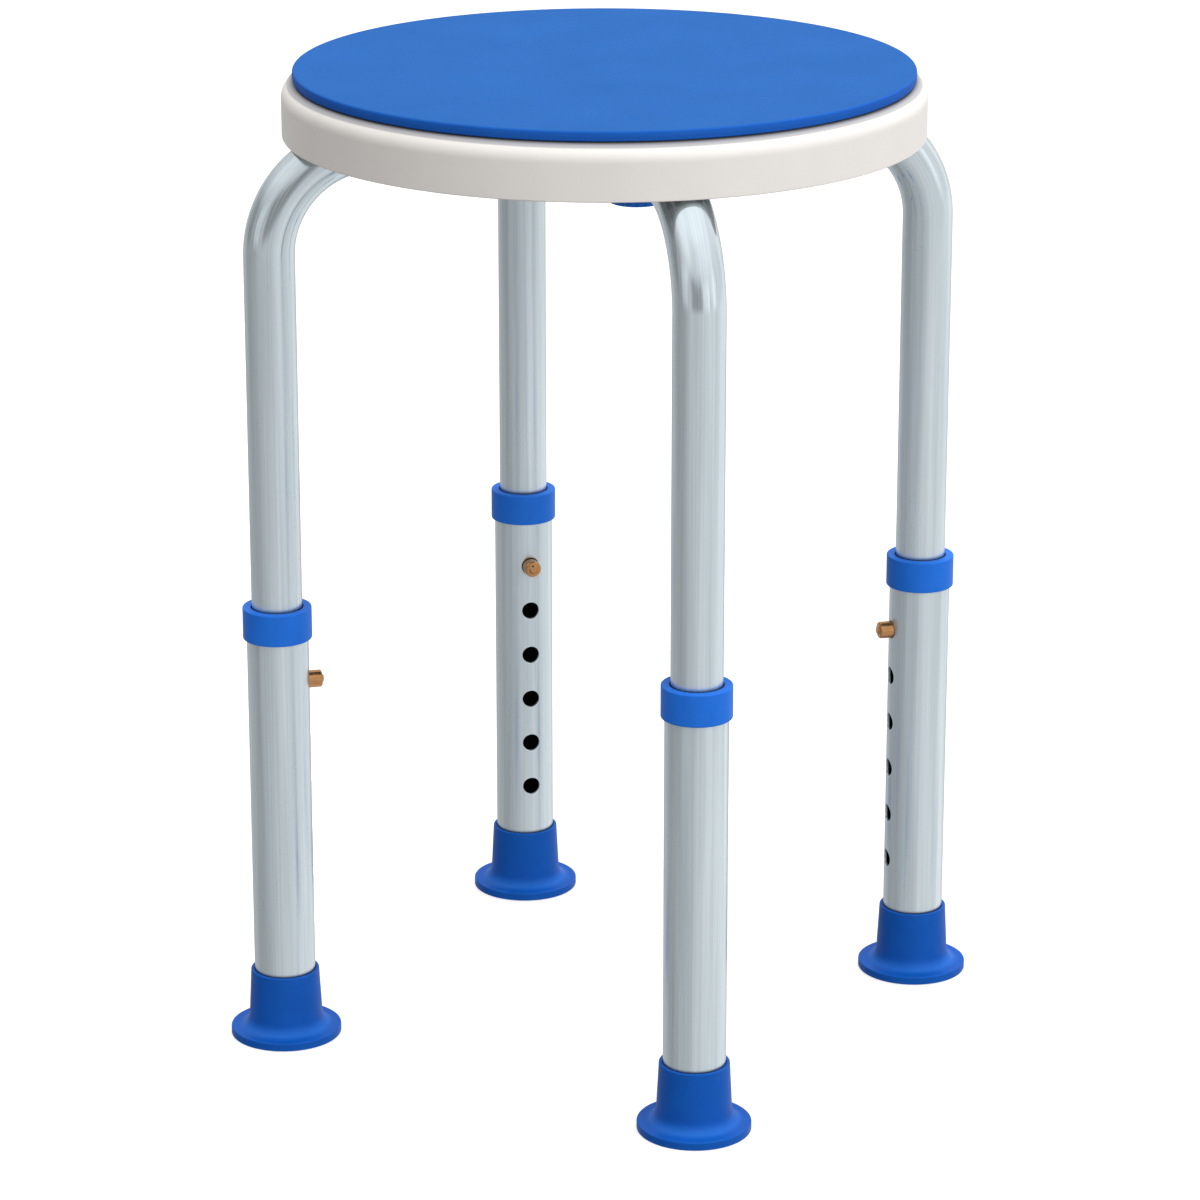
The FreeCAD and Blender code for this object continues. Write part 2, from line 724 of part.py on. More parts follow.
def spring_leaf(start, end):
    """Straight stretch of the spring's strip, with rounded ends."""
    along = end - start
    half_width = Vector(0, SPRING_WIDTH / 2, 0)
    side = along.cross(Y_AXIS).normalize() * (SPRING_THICKNESS / 2)
    outline = [start + side, end + side, end - side, start - side, start + side]
    face = Part.Face(Part.makePolygon([point - half_width for point in outline]))
    leaf = face.extrude(half_width * 2)
    ends = [
        Part.makeCylinder(SPRING_THICKNESS / 2, SPRING_WIDTH, point - half_width, Y_AXIS)
        for point in (start, end)
    ]
    return [leaf] + ends


def button_spring():
    """V of spring strip, bearing on the button and on the tube's far wall."""
    half = SPRING_THICKNESS / 2
    near = -(button_base_reach() - BUTTON_BASE_THICKNESS - SEAT_GAP - half)
    wall = math.sqrt(tube_bore**2 - (SPRING_WIDTH / 2) ** 2)
    far = wall - BUTTON_BASE_CLEARANCE - half
    middle = (near + far) / 2
    low = button_height - button_base_radius
    high = low + SPRING_HEIGHT
    points = [
        Vector(near, 0, low),
        Vector(near, 0, low + SPRING_STRAIGHT),
        Vector(middle - SPRING_APEX_WIDTH / 2, 0, high),
        Vector(middle + SPRING_APEX_WIDTH / 2, 0, high),
        Vector(far, 0, low + SPRING_STRAIGHT),
        Vector(far, 0, low),
    ]
    leaves = []
    for start, end in zip(points, points[1:]):
        leaves += spring_leaf(start, end)
    return fused(leaves)


LEG_PIECES = {
    "leg_tube": leg_tube,
    "leg_collar": leg_collar,
    "leg_foot": leg_foot,
    "foot_washer": foot_washer,
    "tube_end_bush": tube_end_bush,
    "snap_button": snap_button,
    "button_spring": button_spring,
}


def main():
    os.makedirs("parts", exist_ok=True)
    save("seat_pad", seat_pad())
    save("seat_shell", seat_shell())
    save("seat_screws", seat_screws())
    save("swivel_top_plate", swivel_top_plate())
    save("swivel_bottom_plate", swivel_bottom_plate())
    save("swivel_balls", swivel_balls())
    save("swivel_eyelet", swivel_eyelet())
    save("frame_tube_over", frame_tube(True))
    save("frame_tube_under", frame_tube(False))
    save("centre_rivet", centre_rivet())
    save("upper_saddles", upper_saddles())
    save("lower_saddles", lower_saddles())
    save("frame_bolts", frame_bolts())
    save("thumb_nuts", thumb_nuts())
    for name, make in LEG_PIECES.items():
        piece = moved_to_leg(make())
        for side, degrees in SIDES.items():
            save(name + "_" + side, turned_to(piece, degrees))


main()
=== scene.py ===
"""Looks of the round shower stool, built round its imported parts.

Metres, +Z up, origin on the floor under the seat's middle. Sizes inside the shape
functions are in millimetres and are scaled by MM where the surface is worked out.
"""

import bmesh
import bpy
import math
import numpy as np
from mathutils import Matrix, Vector


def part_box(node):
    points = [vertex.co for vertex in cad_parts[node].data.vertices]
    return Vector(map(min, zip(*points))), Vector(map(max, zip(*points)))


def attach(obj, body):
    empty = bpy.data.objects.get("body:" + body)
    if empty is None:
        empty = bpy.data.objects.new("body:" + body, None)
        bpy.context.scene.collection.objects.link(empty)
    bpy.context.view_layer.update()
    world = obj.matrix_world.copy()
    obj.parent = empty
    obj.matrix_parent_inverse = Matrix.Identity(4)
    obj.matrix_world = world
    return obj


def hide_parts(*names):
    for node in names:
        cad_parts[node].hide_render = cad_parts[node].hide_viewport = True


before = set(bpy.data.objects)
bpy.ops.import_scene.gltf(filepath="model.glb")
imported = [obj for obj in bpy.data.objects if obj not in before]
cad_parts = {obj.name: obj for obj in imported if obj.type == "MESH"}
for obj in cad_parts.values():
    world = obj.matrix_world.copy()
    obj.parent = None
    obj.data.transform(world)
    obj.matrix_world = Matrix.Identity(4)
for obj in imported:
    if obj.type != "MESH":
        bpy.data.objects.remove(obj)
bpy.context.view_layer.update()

MM = 0.001
SIDES = {"right": 0.0, "back": 90.0, "left": 180.0, "front": 270.0}

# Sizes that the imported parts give, in millimetres.
pad_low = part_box("seat_pad")[0].z / MM
pad_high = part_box("seat_pad")[1].z / MM
pad_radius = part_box("seat_pad")[1].x / MM
shell_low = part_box("seat_shell")[0].z / MM
shell_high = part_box("seat_shell")[1].z / MM
shell_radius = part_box("seat_shell")[1].x / MM
tube_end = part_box("frame_tube_over")[0].z / MM
arm_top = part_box("frame_tube_over")[1].z / MM
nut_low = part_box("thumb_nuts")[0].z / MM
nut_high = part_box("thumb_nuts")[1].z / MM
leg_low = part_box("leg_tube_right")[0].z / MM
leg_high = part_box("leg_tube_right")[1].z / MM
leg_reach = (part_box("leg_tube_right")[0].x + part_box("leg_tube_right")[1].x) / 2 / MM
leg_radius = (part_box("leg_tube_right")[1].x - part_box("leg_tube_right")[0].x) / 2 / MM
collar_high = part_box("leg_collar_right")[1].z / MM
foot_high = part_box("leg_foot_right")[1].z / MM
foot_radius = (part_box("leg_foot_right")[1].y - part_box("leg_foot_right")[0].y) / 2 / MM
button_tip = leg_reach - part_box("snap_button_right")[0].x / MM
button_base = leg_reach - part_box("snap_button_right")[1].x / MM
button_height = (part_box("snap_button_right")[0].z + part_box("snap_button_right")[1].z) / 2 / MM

TUBE_RADIUS = 12.7
TUBE_WALL = 1.4
LEG_WALL = 1.5
BEND_RADIUS = 52.0
HOLE_RADIUS = 4.6
HOLE_PITCH = 25.4
HOLE_COUNT = 6
CROSSING_HALF_FLAT = 13.7
CROSSING_HALF_GAP = 0.1
CROSSING_REACH = 60.0

SHELL_SKIRT = 2.5
SHELL_TOP = 3.0
PLATFORM_BORE = 27.5
PLATFORM_RADIUS = 71.8
RING_WALL = 2.0
RIB_COUNT = 16
RIB_RUN_OUT = 6.0
SHADE_BAND = 1.8

NUT_REACH = 42.0 * math.sqrt(2)
NUT_RADIUS = 13.75
NUT_FLUTES = 20
NUT_FLUTE_RADIUS = 1.6
NUT_BORE = 3.05
NUT_BORE_DEPTH = 6.0

COLLAR_SLEEVE = 20.0
COLLAR_BAND = 16.3
COLLAR_WALL = 1.8
FOOT_WALL = 1.8
FOOT_TAPER = 1.6
FOOT_FLANGE = 4.2
FOOT_FLOOR = 6.5
FOOT_HOLLOW = 2.5

# Camera: bearing and rise in degrees, the rest in metres, lens in millimetres.
CAMERA_BEARING = -15.0
CAMERA_RISE = 17.94
CAMERA_DISTANCE = 2.337
CAMERA_AIM_SIDEWAYS = -0.0022
CAMERA_AIM_HEIGHT = 0.2187
CAMERA_LENS = 137.5

arm_height = arm_top - TUBE_RADIUS
leg_bore = leg_radius - LEG_WALL


# ------------------------------------------------------------ surfaces

def rounded(corners, steps=6, hold=0.3):
    """Outline through (across, up, round) corners. Each rounded corner becomes an arc between its two
    tangent points, which lie round / tan(half the corner's angle) from it, and a point just outside each
    tangent point keeps the straight runs flat."""
    corners = np.array(corners, float)
    count = len(corners)
    runs = []
    for n in range(count):
        here = corners[n, :2]
        back = corners[n - 1, :2] - here
        onward = corners[(n + 1) % count, :2] - here
        back_length = np.linalg.norm(back)
        onward_length = np.linalg.norm(onward)
        back = back / back_length
        onward = onward / onward_length
        radius = corners[n, 2]
        if radius <= 0:
            runs.append(here[None])
            continue
        half = 0.5 * math.acos(float(np.clip(back @ onward, -1, 1)))
        reach = radius / math.tan(half)
        middle = back + onward
        centre = here + middle / np.linalg.norm(middle) * radius / math.sin(half)
        start = here + back * reach - centre
        end = here + onward * reach - centre
        first = math.atan2(start[1], start[0])
        turn = (math.atan2(end[1], end[0]) - first + math.pi) % (2 * math.pi) - math.pi
        angle = first + turn * np.linspace(0, 1, steps + 1)
        arc = centre + radius * np.column_stack([np.cos(angle), np.sin(angle)])
        before = arc[0] + back * min(hold, 0.2 * (back_length - reach))
        after = arc[-1] + onward * min(hold, 0.2 * (onward_length - reach))
        runs += [before[None], arc, after[None]]
    return np.vstack(runs)


def turned(outline, turns=96, centre=(0.0, 0.0), squeeze=None):
    """Surface of revolution of a (radius, height) outline: x = radius cos(a), y = radius sin(a),
    z = height, about an upright axis at centre. squeeze may limit the radius at each angle."""
    if outline[0, 0] > 1e-9 or outline[-1, 0] > 1e-9:
        outline = np.vstack([outline, outline[:1]])
    angle = np.linspace(0, 2 * math.pi, turns + 1)
    radius = np.repeat(outline[:, :1], turns + 1, axis=1)
    if squeeze is not None:
        radius = squeeze(radius, angle[None, :])
    height = np.repeat(outline[:, 1:], turns + 1, axis=1)
    grain = np.stack([radius * np.cos(angle), radius * np.sin(angle), height], axis=-1)
    points = grain + np.array([centre[0], centre[1], 0.0])
    return {"points": points, "grain": grain}


def quads(rows, columns, first):
    """Corner numbers of the faces of a rows by columns net whose points start at first."""
    corner = first + np.arange(rows * columns).reshape(rows, columns)
    return np.stack(
        [corner[:-1, :-1], corner[:-1, 1:], corner[1:, 1:], corner[1:, :-1]], axis=-1
    ).reshape(-1, 4)


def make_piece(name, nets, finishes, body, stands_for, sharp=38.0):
    """One mesh from nets of points in millimetres. Each net may carry a grain (the place on the unrolled
    piece), a bend amount, a shade amount and the number of its finish."""
    points, grain, bend, shade, faces, number = [], [], [], [], [], []
    first = 0
    for net in nets:
        rows, columns = net["points"].shape[:2]
        faces.append(quads(rows, columns, first))
        number.append(np.full((rows - 1) * (columns - 1), net.get("finish", 0)))
        points.append(net["points"].reshape(-1, 3))
        grain.append(net.get("grain", net["points"]).reshape(-1, 3))
        bend.append(np.broadcast_to(net.get("bend", 0.0), (rows, columns)).reshape(-1))
        shade.append(np.broadcast_to(net.get("shade", 0.0), (rows, columns)).reshape(-1))
        first += rows * columns
    mesh = bpy.data.meshes.new(name)
    mesh.from_pydata((np.vstack(points) * MM).tolist(), [], np.vstack(faces).tolist())
    mesh.polygons.foreach_set("material_index", np.concatenate(number).astype(np.int32))
    mesh.attributes.new("grain", "FLOAT_VECTOR", "POINT")
    mesh.attributes["grain"].data.foreach_set("vector", (np.vstack(grain) * MM).ravel())
    for label, amount in (("bend", bend), ("shade", shade)):
        mesh.attributes.new(label, "FLOAT", "POINT")
        mesh.attributes[label].data.foreach_set("value", np.concatenate(amount).astype(float))
    welded = bmesh.new()
    welded.from_mesh(mesh)
    bmesh.ops.remove_doubles(welded, verts=welded.verts, dist=2e-6)
    bmesh.ops.recalc_face_normals(welded, faces=welded.faces)
    welded.to_mesh(mesh)
    welded.free()
    mesh.polygons.foreach_set("use_smooth", np.ones(len(mesh.polygons), bool))
    mesh.set_sharp_from_angle(angle=math.radians(sharp))
    for finish in finishes:
        mesh.materials.append(finish)
    piece = bpy.data.objects.new(name, mesh)
    bpy.context.scene.collection.objects.link(piece)
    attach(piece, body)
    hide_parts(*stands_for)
    return piece


def leg_place(side):
    """Where a (angle, along, radius) point of a straight leg tube lies: the leg's axis, less radius
    cos(angle) outward, plus radius sin(angle) sideways, plus along upward. Angle 0 faces the stool's axis."""
    turn = math.radians(SIDES[side])
    outward = np.array([math.cos(turn), math.sin(turn), 0.0])
    sideways = np.array([-math.sin(turn), math.cos(turn), 0.0])

    def place(angle, along, radius):
        inward_part = (leg_reach - radius * np.cos(angle))[..., None] * outward
        side_part = (radius * np.sin(angle))[..., None] * sideways
        return inward_part + side_part + along[..., None] * np.array([0.0, 0.0, 1.0])

    return place


def u_line(along):
    """The U-shaped centre line: up the right leg, round an arc of BEND_RADIUS, along the arms, round the
    second arc and down the left leg. Gives x, z, and the unit vector towards the inside of the U."""
    straight = arm_height - BEND_RADIUS - tube_end
    arc = BEND_RADIUS * math.pi / 2
    half_arm = leg_reach - BEND_RADIUS
    middle = straight + arc + half_arm
    mirrored = along > middle
    s = np.where(mirrored, 2 * middle - along, along)
    phi = np.clip((s - straight) / BEND_RADIUS, 0, math.pi / 2)
    x = half_arm + BEND_RADIUS * np.cos(phi) - np.clip(s - straight - arc, 0, None)
    z = tube_end + np.clip(s, None, straight) + BEND_RADIUS * np.sin(phi)
    flip = np.where(mirrored, -1.0, 1.0)
    return flip * x, z, -flip * np.cos(phi), -np.sin(phi)


def u_place(over, outer):
    """Where a (angle, along, radius) point of a U-shaped tube lies. Where the tubes cross, the lower
    half of the one on top is pressed up to a flat with slanted sides, and the upper half of the other is
    pressed down: height = the smooth greater, or smooth lesser, of the round tube and the flat."""

    def place(angle, along, radius):
        x, z, inward_x, inward_z = u_line(along)
        px = x + radius * np.cos(angle) * inward_x
        pz = z + radius * np.cos(angle) * inward_z
        py = radius * np.sin(angle)
        wall = outer - radius
        way = 1.0 if over else -1.0
        past = np.abs(px) - CROSSING_HALF_FLAT
        ramp = np.clip(np.sqrt(past**2 + 1.5) + past, 0, None) / 2
        flat = CROSSING_HALF_GAP + wall - ramp
        height = way * (pz - arm_height)
        apart = height - flat
        pressed = flat + (apart + np.sqrt(apart**2 + 1.0)) / 2
        pz = np.where(np.abs(px) < CROSSING_REACH, arm_height + way * pressed, pz)
        if over:
            return np.stack([px, py, pz], axis=-1)
        return np.stack([-py, px, pz], axis=-1)

    return place


def drilled_tube(place, rows, holes, outer, inner, bend, shade, half_angle=0.56, around=72):
    """Tube wall with round holes on its angle 0 line. Away from the holes both faces are plain nets of
    angle and distance along. Round a hole, the net runs from the hole's edge to a rectangle: point =
    (1 - t) edge + t rectangle. The hole's own wall joins the two faces, with a small bevel outside."""
    across, up = 16, 12
    half_along = HOLE_PITCH / 2
    inside = np.linspace(-half_angle, half_angle, across + 1)
    outside = np.linspace(half_angle, 2 * math.pi - half_angle, around + 1)
    steps = np.linspace(-half_along, half_along, up + 1)
    plain = [row for row in rows if all(abs(row - hole) > half_along + 0.2 for hole in holes)]
    dense = np.concatenate([hole + steps for hole in holes]) if len(holes) else np.zeros(0)
    every = np.unique(np.round(np.concatenate([plain, dense]), 4))
    nets = []

    def net(angle, along, radius, finish):
        radius = np.broadcast_to(radius, angle.shape)
        grain = np.stack([radius * np.cos(angle), radius * np.sin(angle), along], axis=-1)
        nets.append({"points": place(angle, along, radius), "grain": grain, "bend": bend(along),
                     "shade": shade(along), "finish": finish})

    edge_angle = np.concatenate(
        [inside[:-1], np.full(up, half_angle), inside[:0:-1], np.full(up, -half_angle), inside[:1]]
    )
    edge_along = np.concatenate(
        [np.full(across, -half_along), steps[:-1], np.full(across, half_along), steps[:0:-1],
         [-half_along]]
    )
    theta = np.arctan2(edge_along, edge_angle * outer)
    share = np.linspace(0, 1, 7)[:, None] ** 1.4
    for radius, finish, widen in ((outer, 0, 0.3), (inner, 1, 0.0)):
        hole_angle = np.arcsin((HOLE_RADIUS + widen) * np.cos(theta) / radius)
        hole_along = (HOLE_RADIUS + widen) * np.sin(theta)
        for hole in holes:
            angle = (1 - share) * hole_angle + share * edge_angle
            along = hole + (1 - share) * hole_along + share * edge_along
            net(angle, along, radius, finish)
        angle, along = np.meshgrid(outside, every)
        net(angle, along, radius, finish)
        gaps = np.array([all(abs(m - hole) > half_along for hole in holes)
                         for m in (every[:-1] + every[1:]) / 2])
        for start in np.flatnonzero(gaps):
            angle, along = np.meshgrid(inside, every[start:start + 2])
            net(angle, along, radius, finish)
    depth = np.array([outer, outer - 0.12, outer - 0.3, inner])[:, None]
    size = HOLE_RADIUS + np.array([0.3, 0.1, 0.0, 0.0])[:, None]
    for hole in holes:
        angle = np.arcsin(size * np.cos(theta) / depth)
        net(angle, hole + size * np.sin(theta), depth, 0)
    whole = np.concatenate([inside[:-1], outside])
    for end in (every[0], every[-1]):
        angle, radius = np.meshgrid(whole, np.array([outer, inner]))
        net(angle, np.full(angle.shape, end), radius, 1)
    return nets


# ----------------------------------------------------------- node tools

def linked(tree, kind, settings=None, **inputs):
    """A shader node with its settings, its numbers, and its links from (node, output) pairs."""
    made = tree.nodes.new(kind)
    for key, value in (settings or {}).items():
        setattr(made, key, value)
    for key, value in inputs.items():
        socket = made.inputs[int(key[1:])] if key[1:].isdigit() else made.inputs[key.replace("_", " ")]
        if isinstance(value, bpy.types.NodeSocket):
            tree.links.new(value, socket)
        else:
            socket.default_value = value
    return made


def blank(name):
    """A new material with only its output and its Principled shader."""
    made = bpy.data.materials.new(name)
    made.use_nodes = True
    tree = made.node_tree
    tree.nodes.clear()
    shader = tree.nodes.new("ShaderNodeBsdfPrincipled")
    output = tree.nodes.new("ShaderNodeOutputMaterial")
    tree.links.new(shader.outputs["BSDF"], output.inputs["Surface"])
    return made, tree, shader


def speckle(tree, vector, stretch, scale, detail=3.0, rough=0.55):
    """Noise value, from a vector stretched by three factors."""
    mapped = linked(tree, "ShaderNodeMapping", Vector=vector, Scale=stretch)
    noise = linked(tree, "ShaderNodeTexNoise", Vector=mapped.outputs[0], Scale=scale, Detail=detail,
                   Roughness=rough)
    return noise.outputs[0]


def between(tree, value, low, high, to_low, to_high):
    """Value moved from the range low..high to to_low..to_high, and held there."""
    made = linked(tree, "ShaderNodeMapRange", {"clamp": True}, Value=value, From_Min=low, From_Max=high,
                  To_Min=to_low, To_Max=to_high)
    return made.outputs[0]


def blend(tree, amount, first, second):
    """Colour from first to second by amount."""
    made = linked(tree, "ShaderNodeMix", {"data_type": "RGBA"}, _0=amount, _6=first, _7=second)
    return made.outputs[2]


def product(tree, first, second):
    """Two values multiplied."""
    return linked(tree, "ShaderNodeMath", {"operation": "MULTIPLY"}, _0=first, _1=second).outputs[0]


def tinted(tree, amount, first, second):
    """Colour first, multiplied by colour second by amount."""
    made = linked(tree, "ShaderNodeMix", {"data_type": "RGBA", "blend_type": "MULTIPLY"}, _0=amount,
                  _6=first, _7=second)
    return made.outputs[2]


def out_from_axis(tree, place):
    """Level distance of a place from the stool's upright axis."""
    flat = linked(tree, "ShaderNodeVectorMath", {"operation": "MULTIPLY"}, _0=place, _1=(1.0, 1.0, 0.0))
    return linked(tree, "ShaderNodeVectorMath", {"operation": "LENGTH"}, _0=flat.outputs[0]).outputs["Value"]


def set_stops(ramp, stops):
    """Give a colour ramp its (position, colour) stops."""
    while len(ramp.color_ramp.elements) < len(stops):
        ramp.color_ramp.elements.new(0.5)
    for element, (position, colour) in zip(ramp.color_ramp.elements, stops):
        element.position = position
    for element, (position, colour) in zip(ramp.color_ramp.elements, stops):
        element.color = colour


def raised(tree, height, strength, distance, under=None):
    """Bump from a height value, on top of another bump if there is one."""
    made = linked(tree, "ShaderNodeBump", Strength=strength, Distance=distance, Height=height)
    if under is not None:
        tree.links.new(under, made.inputs["Normal"])
    return made.outputs[0]


def set_up(tree, shader, colour, roughness, normal=None, **fixed):
    """Feed the shader: colour and roughness may vary, all else is fixed on its own socket."""
    for key, value in (("Base Color", colour), ("Roughness", roughness)):
        if isinstance(value, bpy.types.NodeSocket):
            tree.links.new(value, shader.inputs[key])
        else:
            shader.inputs[key].default_value = value
    if normal is not None:
        tree.links.new(normal, shader.inputs["Normal"])
    for key, value in fixed.items():
        shader.inputs[key.replace("_", " ")].default_value = value


# ------------------------------------------------------------- finishes

def anodised_tube():
    """Bright anodised aluminium: fine draw lines along the tube, blurred less where it was bent."""
    made, tree, shader = blank("anodised_tube")
    grain = linked(tree, "ShaderNodeAttribute", {"attribute_name": "grain"}).outputs["Vector"]
    bend = linked(tree, "ShaderNodeAttribute", {"attribute_name": "bend"}).outputs["Fac"]
    lines = speckle(tree, grain, (1.0, 1.0, 0.004), 1500.0, 2.0)
    bands = speckle(tree, grain, (1.0, 1.0, 0.02), 240.0, 2.0)
    cloud = speckle(tree, grain, (1.0, 1.0, 0.6), 30.0, 3.0)
    drawn = linked(tree, "ShaderNodeMath", {"operation": "MULTIPLY_ADD"}, _0=lines, _1=0.5, _2=bands)
    clean = blend(tree, between(tree, drawn.outputs[0], 0.55, 0.95, 0.0, 1.0),
                  (0.575, 0.655, 0.695, 1), (0.725, 0.81, 0.855, 1))
    # Painted reflection: the colour darkens towards the tube's outline. The shade attribute adds painted
    # shade just above the collar and foot rims.
    facing = linked(tree, "ShaderNodeLayerWeight", Blend=0.5).outputs["Facing"]
    rim = between(tree, facing, 0.66, 0.92, 0.0, 0.7)
    shade = linked(tree, "ShaderNodeAttribute", {"attribute_name": "shade"}).outputs["Fac"]
    painted_dark_rim = blend(tree, rim, clean, (0.20, 0.26, 0.25, 1))
    colour = blend(tree, shade, painted_dark_rim, (0.12, 0.15, 0.14, 1))
    straight = between(tree, cloud, 0.3, 0.7, 0.25, 0.33)
    polished = between(tree, bend, 0.0, 1.0, 1.0, 0.45)
    normal = raised(tree, lines, 0.06, 0.0002)
    set_up(tree, shader, colour, product(tree, straight, polished), normal, Metallic=0.78)
    return made


def tube_bore():
    """Inside of a tube: dull and unpolished, painted nearly black as painted shade inside the tube."""
    made, tree, shader = blank("tube_bore")
    place = linked(tree, "ShaderNodeTexCoord").outputs["Object"]
    stain = speckle(tree, place, (1.0, 1.0, 0.2), 160.0)
    # Painted shade: near-black colours so that the holes read dark.
    colour = blend(tree, stain, (0.012, 0.013, 0.014, 1), (0.05, 0.052, 0.055, 1))
    set_up(tree, shader, colour, between(tree, stain, 0.3, 0.7, 0.6, 0.8),
           raised(tree, stain, 0.1, 0.0003), Metallic=0.5)
    return made


def pad_foam():
    """Closed-cell foam: matte, with a fine skin of pressed cells, and a side painted brighter and bluer than
    the top as painted light.
    """
    made, tree, shader = blank("pad_foam")
    place = linked(tree, "ShaderNodeTexCoord").outputs["Object"]
    cells = linked(tree, "ShaderNodeTexVoronoi", Vector=place, Scale=1900.0).outputs[0]
    skin = speckle(tree, place, (1.0, 1.0, 1.0), 700.0, 4.0)
    cloud = speckle(tree, place, (1.0, 1.0, 1.0), 24.0, 4.0)
    mixed = linked(tree, "ShaderNodeMath", {"operation": "MULTIPLY_ADD"}, _0=skin, _1=0.5, _2=cloud)
    wear_and_sheen = between(tree, mixed.outputs[0], 0.5, 1.0, 0.0, 1.0)
    face = blend(tree, wear_and_sheen, (0.011, 0.090, 0.318, 1), (0.013, 0.099, 0.346, 1))
    # Painted light: the side gets a brighter, bluer copy of the top's colour, making up for the less light
    # that falls on it.
    painted_light_side = blend(tree, wear_and_sheen, (0.012, 0.100, 0.45, 1), (0.015, 0.112, 0.49, 1))
    edge = between(tree, out_from_axis(tree, place), 0.1525, 0.1533, 0.0, 1.0)
    colour = blend(tree, edge, face, painted_light_side)
    normal = raised(tree, cells, 0.12, 0.0002, raised(tree, skin, 0.15, 0.0004))
    set_up(tree, shader, colour, between(tree, skin, 0.3, 0.7, 0.52, 0.64), normal,
           Specular_IOR_Level=0.04)
    return made


def shell_plastic():
    """Warm off-white moulded plastic with a fine spark-eroded texture, and a painted shadow on the shoulder
    round the pad's edge.
    """
    made, tree, shader = blank("shell_plastic")
    place = linked(tree, "ShaderNodeTexCoord").outputs["Object"]
    fine = speckle(tree, place, (1.0, 1.0, 1.0), 2200.0, 2.0)
    flow = speckle(tree, place, (1.0, 1.0, 1.0), 40.0, 3.0)
    clean = blend(tree, between(tree, flow, 0.3, 0.7, 0.0, 1.0),
                  (0.79, 0.757, 0.722, 1), (0.815, 0.782, 0.747, 1))
    # Painted shadow: the shoulder just outside the pad's edge is darkened where the pad's overhang would
    # shade it, on the top only.
    pad_shadow_paint = linked(tree, "ShaderNodeValToRGB",
                   Fac=between(tree, out_from_axis(tree, place), 0.1530, 0.1575, 0.0, 1.0))
    set_stops(pad_shadow_paint, ((0.0, (0.12, 0.12, 0.12, 1)), (0.2, (0.30, 0.31, 0.35, 1)),
                      (0.45, (0.47, 0.48, 0.52, 1)), (0.66, (0.54, 0.55, 0.58, 1)),
                      (0.78, (0.97, 0.97, 0.97, 1)), (1.0, (1.0, 1.0, 1.0, 1))))
    rise = linked(tree, "ShaderNodeSeparateXYZ", Vector=place).outputs[2]
    on_top = between(tree, rise, 0.4845, 0.4855, 0.0, 1.0)
    set_up(tree, shader, tinted(tree, on_top, clean, pad_shadow_paint.outputs[0]),
           between(tree, flow, 0.3, 0.7, 0.34, 0.42), raised(tree, fine, 0.08, 0.0002),
           Specular_IOR_Level=0.5)
    return made


def blue_plastic():
    """Blue moulded collar and nut plastic, satin."""
    made, tree, shader = blank("blue_plastic")
    place = linked(tree, "ShaderNodeTexCoord").outputs["Object"]
    fine = speckle(tree, place, (1.0, 1.0, 1.0), 1800.0, 2.0)
    flow = speckle(tree, place, (1.0, 1.0, 0.5), 110.0, 3.0)
    colour = blend(tree, between(tree, flow, 0.3, 0.7, 0.0, 1.0),
                   (0.014, 0.160, 0.70, 1), (0.018, 0.178, 0.76, 1))
    set_up(tree, shader, colour, between(tree, flow, 0.3, 0.7, 0.42, 0.5),
           raised(tree, fine, 0.07, 0.0002), Specular_IOR_Level=0.15)
    return made


def blue_rubber():
    """Blue foot rubber: matte, faintly mottled, with a fine moulded skin and a painted sheen that lightens
    the cove.
    """
    made, tree, shader = blank("blue_rubber")
    place = linked(tree, "ShaderNodeTexCoord").outputs["Object"]
    fine = speckle(tree, place, (1.0, 1.0, 1.0), 1500.0, 3.0)
    mottle = speckle(tree, place, (1.0, 1.0, 1.0), 90.0, 4.0)
    plain = blend(tree, between(tree, mottle, 0.3, 0.7, 0.0, 1.0),
                  (0.004, 0.088, 0.43, 1), (0.005, 0.100, 0.47, 1))
    # Painted sheen: a band of lighter colour at the cove's height stands in for a highlight.
    high = linked(tree, "ShaderNodeSeparateXYZ", Vector=place).outputs[2]
    rise = between(tree, high, 0.0042, 0.0052, 0.0, 1.0)
    fall = between(tree, high, 0.0055, 0.0088, 1.0, 0.0)
    wear_and_sheen = product(tree, product(tree, rise, fall), 0.33)
    colour = blend(tree, wear_and_sheen, plain, (0.03, 0.20, 0.70, 1))
    set_up(tree, shader, colour, between(tree, mottle, 0.3, 0.7, 0.40, 0.50),
           raised(tree, fine, 0.10, 0.0002), Specular_IOR_Level=0.12)
    return made


def button_brass():
    """Turned, plated brass with rings left by the tool."""
    made, tree, shader = blank("button_brass")
    grain = linked(tree, "ShaderNodeAttribute", {"attribute_name": "grain"}).outputs["Vector"]
    rings = linked(tree, "ShaderNodeTexWave",
                   {"wave_type": "RINGS", "rings_direction": "Z", "wave_profile": "SAW"},
                   Vector=grain, Scale=700.0, Distortion=0.3, Detail=1.0).outputs[1]
    wear = speckle(tree, grain, (1.0, 1.0, 1.0), 420.0, 2.0)
    colour = blend(tree, between(tree, wear, 0.3, 0.7, 0.0, 1.0),
                   (0.47, 0.235, 0.095, 1), (0.55, 0.285, 0.125, 1))
    set_up(tree, shader, colour, between(tree, wear, 0.3, 0.7, 0.17, 0.25),
           raised(tree, rings, 0.02, 0.0001), Metallic=1.0)
    return made


